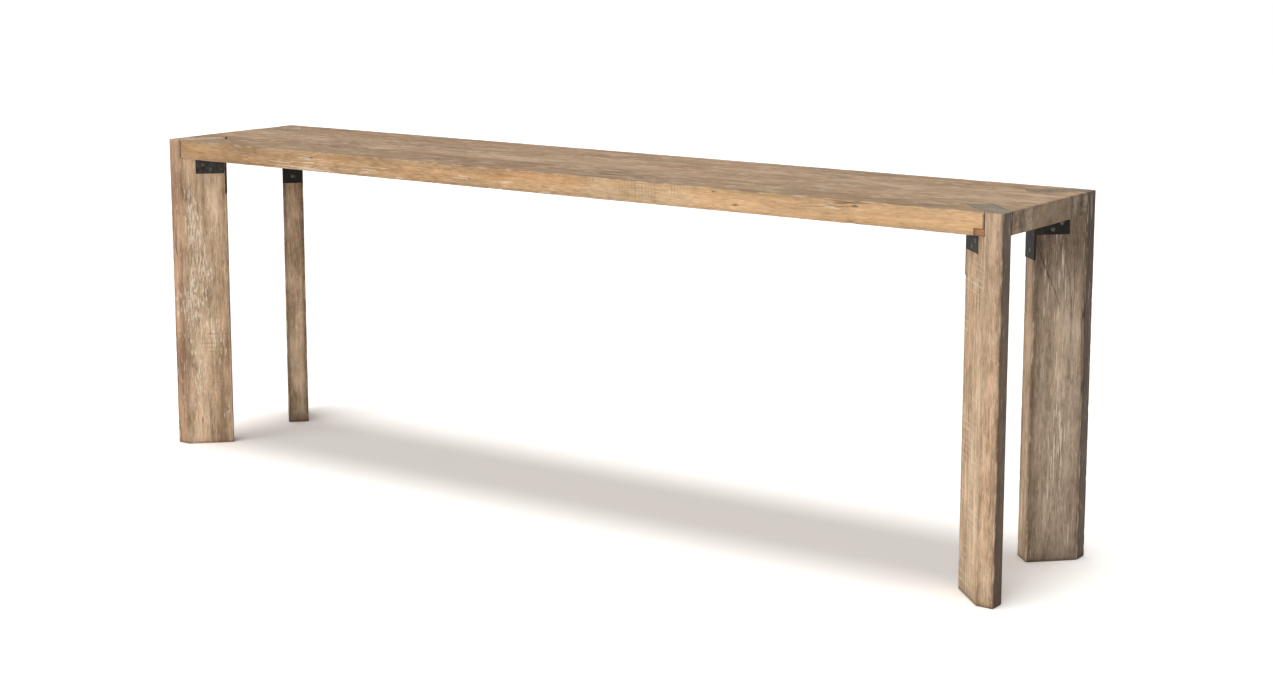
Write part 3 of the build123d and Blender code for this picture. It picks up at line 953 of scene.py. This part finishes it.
iron = {corner: iron_material(corner) for corner in leg_corner}
for name in [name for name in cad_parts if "_angle_" in name]:
    corner = next(corner for corner in leg_corner if corner in name)
    shape = bmesh.new()
    shape.from_mesh(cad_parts[name].data)
    bmesh.ops.remove_doubles(shape, verts=shape.verts, dist=same_corner)
    bmesh.ops.dissolve_limit(shape, angle_limit=same_plane, verts=shape.verts, edges=shape.edges)
    mesh = bpy.data.meshes.new(name)
    shape.to_mesh(mesh)
    shape.free()
    angle = placed(name + "_eased", mesh)
    mesh.materials.clear()
    mesh.materials.append(iron[corner])
    softened = angle.modifiers.new("softened", "BEVEL")
    softened.width = eased_arris
    softened.segments = eased_steps
    softened.limit_method = "ANGLE"
    softened.angle_limit = eased_angle
    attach(angle, "root")
    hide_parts(name)

# Screws
# Slotted countersunk screws, blackened with the irons and rubbed a little bright on their heads.
head_noise, head_mask = ((260, 260, 260), 3), (0.35, 0.7)
head_rough, rub_rough = 0.3, 0.3
head_metal = 0.7
steel, tree, shader = new_material("screw_heads")
rub = noise(node(tree, "TexCoord").outputs["Object"], *head_noise)
heads = blended(eased(rub, *head_mask), colour(50, 48, 45), colour(112, 108, 101))
roughness = sums("MULTIPLY_ADD", rub, rub_rough, head_rough)
fill(shader, {"Base Color": heads, "Roughness": roughness, "Metallic": head_metal})
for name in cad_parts:
    if "_screws_" in name:
        dress(name, steel)

# Floor
# A plain pale studio floor. The camera and reflections see it brighter than it shines on the table, so that
# it is as white as the room behind it and only the core of the table's soft shadow shows.
floor_reach = 14.0
floor_colour = colour(248, 246, 243)
floor_gain, floor_lift = 1.42, 0.02
floor_corners = floor_reach * np.array([(-1, -1, 0), (1, -1, 0), (1, 1, 0), (-1, 1, 0)])
mesh = bpy.data.meshes.new("floor")
mesh.from_pydata(floor_corners, [], [(0, 1, 2, 3)])
floor = placed("floor", mesh)
studio_floor, tree, shader = new_material("studio_floor")


def seen_ray(tree):
    """A mask of the rays that show the studio: those of the camera, of reflections and through glass."""
    path = node(tree, "LightPath").outputs
    mirrored = sums("MAXIMUM", path["Is Glossy Ray"], path["Is Transmission Ray"])
    return sums("MAXIMUM", path["Is Camera Ray"], mirrored)


seen = seen_ray(tree)
fill(shader, {
    "Base Color": blended(seen, floor_colour, floor_gain * floor_colour),
    "Roughness": 1.0,
    "Specular IOR Level": 0.0,
    "Emission Color": (1, 1, 1, 1),
    "Emission Strength": times(seen, floor_lift),
})
mesh.materials.append(studio_floor)

# Light
# A wide soft light from straight above, a weaker and wider one from the front left, and light from all
# around that is weaker on the right. The room itself is seen as white.
room_level, room_slope = 0.325, 0.22
white_room = 1.0
world = bpy.data.worlds.new("studio")
bpy.context.scene.world = world
world.use_nodes = True
tree = world.node_tree
facing = joined("SeparateXYZ", {0: node(tree, "TexCoord").outputs["Generated"]}).outputs
room = sums("MULTIPLY_ADD", facing[0], -room_slope, room_level)
strength = joined("Mix", {"Factor": seen_ray(tree), 2: room, 3: white_room}).outputs[0]
fill(tree.nodes["Background"], {"Color": (1, 1, 1, 1), "Strength": strength})


def soft_sun(name, height, heading, spread, strength):
    """A broad far light: its height above the floor and its heading round from the front, in degrees."""
    light = bpy.data.lights.new(name, "SUN")
    light.energy = strength
    light.angle = math.radians(spread)
    placed(name, light).rotation_euler = (math.radians(90 - height), 0, math.radians(heading))


soft_sun("overhead", height=88, heading=0, spread=21, strength=1.46)
soft_sun("front_left", height=24, heading=-6, spread=70, strength=1.26)

# Camera
# The photograph's view, from the front right and a little above. A small shift of the lens puts its axis
# above the middle of the picture, so that the camera tilts less and the uprights stay nearly parallel.
frame_width = 1273
focal_pixels = 2150.15
axis_raised = 110
camera_tilt, camera_turn = 8.848, 35.437
camera_data = bpy.data.cameras.new("camera")
camera_data.sensor_width = 36.0
camera_data.lens = focal_pixels / frame_width * camera_data.sensor_width
camera_data.shift_y = -axis_raised / frame_width
camera = placed("camera", camera_data)
camera.location = (3.1073, -4.1587, 1.4457)
camera.rotation_euler = (math.radians(90 - camera_tilt), 0, math.radians(camera_turn))
bpy.context.scene.camera = camera
bpy.context.scene.view_settings.view_transform = "Standard"
